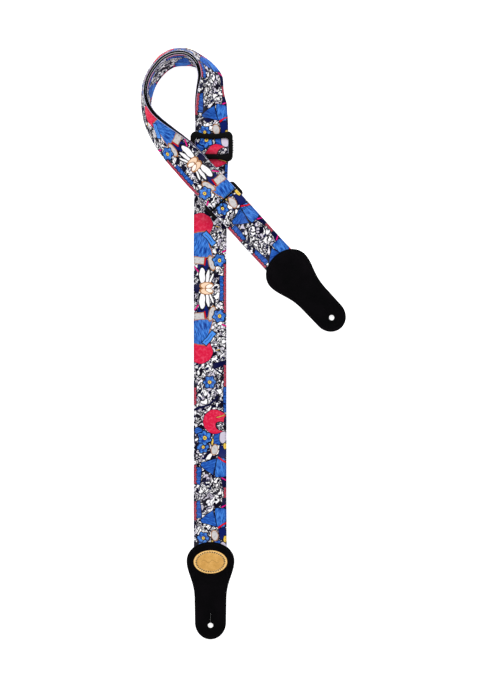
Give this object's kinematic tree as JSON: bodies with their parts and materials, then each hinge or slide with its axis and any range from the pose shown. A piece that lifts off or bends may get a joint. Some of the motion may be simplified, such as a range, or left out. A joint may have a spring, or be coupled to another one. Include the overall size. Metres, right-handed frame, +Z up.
{
  "type": "guitar strap",
  "caption": "Narrow printed instrument strap with a sliding adjuster, a ring, a short strap and a black leather tab with a button hole at each end.",
  "frame": {"origin": "on the table, under the middle of the laid-out strap's box", "axes": "+Z up from the table, +Y along the main run from the badge tab to the adjuster, +X to the right, towards the plain tab"},
  "size_m": [0.2356, 0.6804, 0.0392],
  "materials": {
    "black_webbing": "matte woven",
    "printed_ribbon": "satin woven, printed",
    "black_plastic": "fine moulded",
    "black_leather": "soft matte",
    "tan_leather": "smooth",
    "black_thread": "matte",
    "cream_thread": "matte"
  },
  "bodies": {
    "long_strap": {"long_strap_webbing": "black_webbing", "long_strap_printed_face": "printed_ribbon", "slider_end_bar_tack": "black_thread", "tab_a_front_leather": "black_leather", "tab_a_back_leather": "black_leather", "tab_a_seam": "black_thread", "oval_badge": "tan_leather", "oval_badge_seam": "cream_thread"},
    "slider": {"adjuster_slider": "black_plastic"},
    "ring": {"rectangular_ring": "black_plastic"},
    "short_strap": {"short_strap_webbing": "black_webbing", "short_strap_printed_face": "printed_ribbon", "ring_end_bar_tack": "black_thread", "tab_b_front_leather": "black_leather", "tab_b_back_leather": "black_leather", "tab_b_seam": "black_thread"}
  },
  "joints": [
    {"name": "slider_slide", "type": "slide", "parent": "long_strap", "child": "slider", "axis": [0.0047, 1, 0], "range_m": [-0.385, 0], "deforming": ["long_strap_webbing", "long_strap_printed_face", "slider_end_bar_tack"]},
    {"name": "ring_swivel", "type": "hinge", "parent": "long_strap", "child": "ring", "pos_m": [-0.03281, 0.17504, 0.01592], "axis": [-0.7312, -0.6822, 0], "range_deg": [0, 75], "deforming": ["long_strap_webbing", "long_strap_printed_face"]},
    {"name": "end_swing", "type": "hinge", "parent": "ring", "child": "short_strap", "pos_m": [-0.01235, 0.15311, 0.0152], "axis": [-0.7312, -0.6822, 0], "range_deg": [0, 60], "deforming": ["short_strap_webbing", "short_strap_printed_face", "ring_end_bar_tack"]}
  ]
}
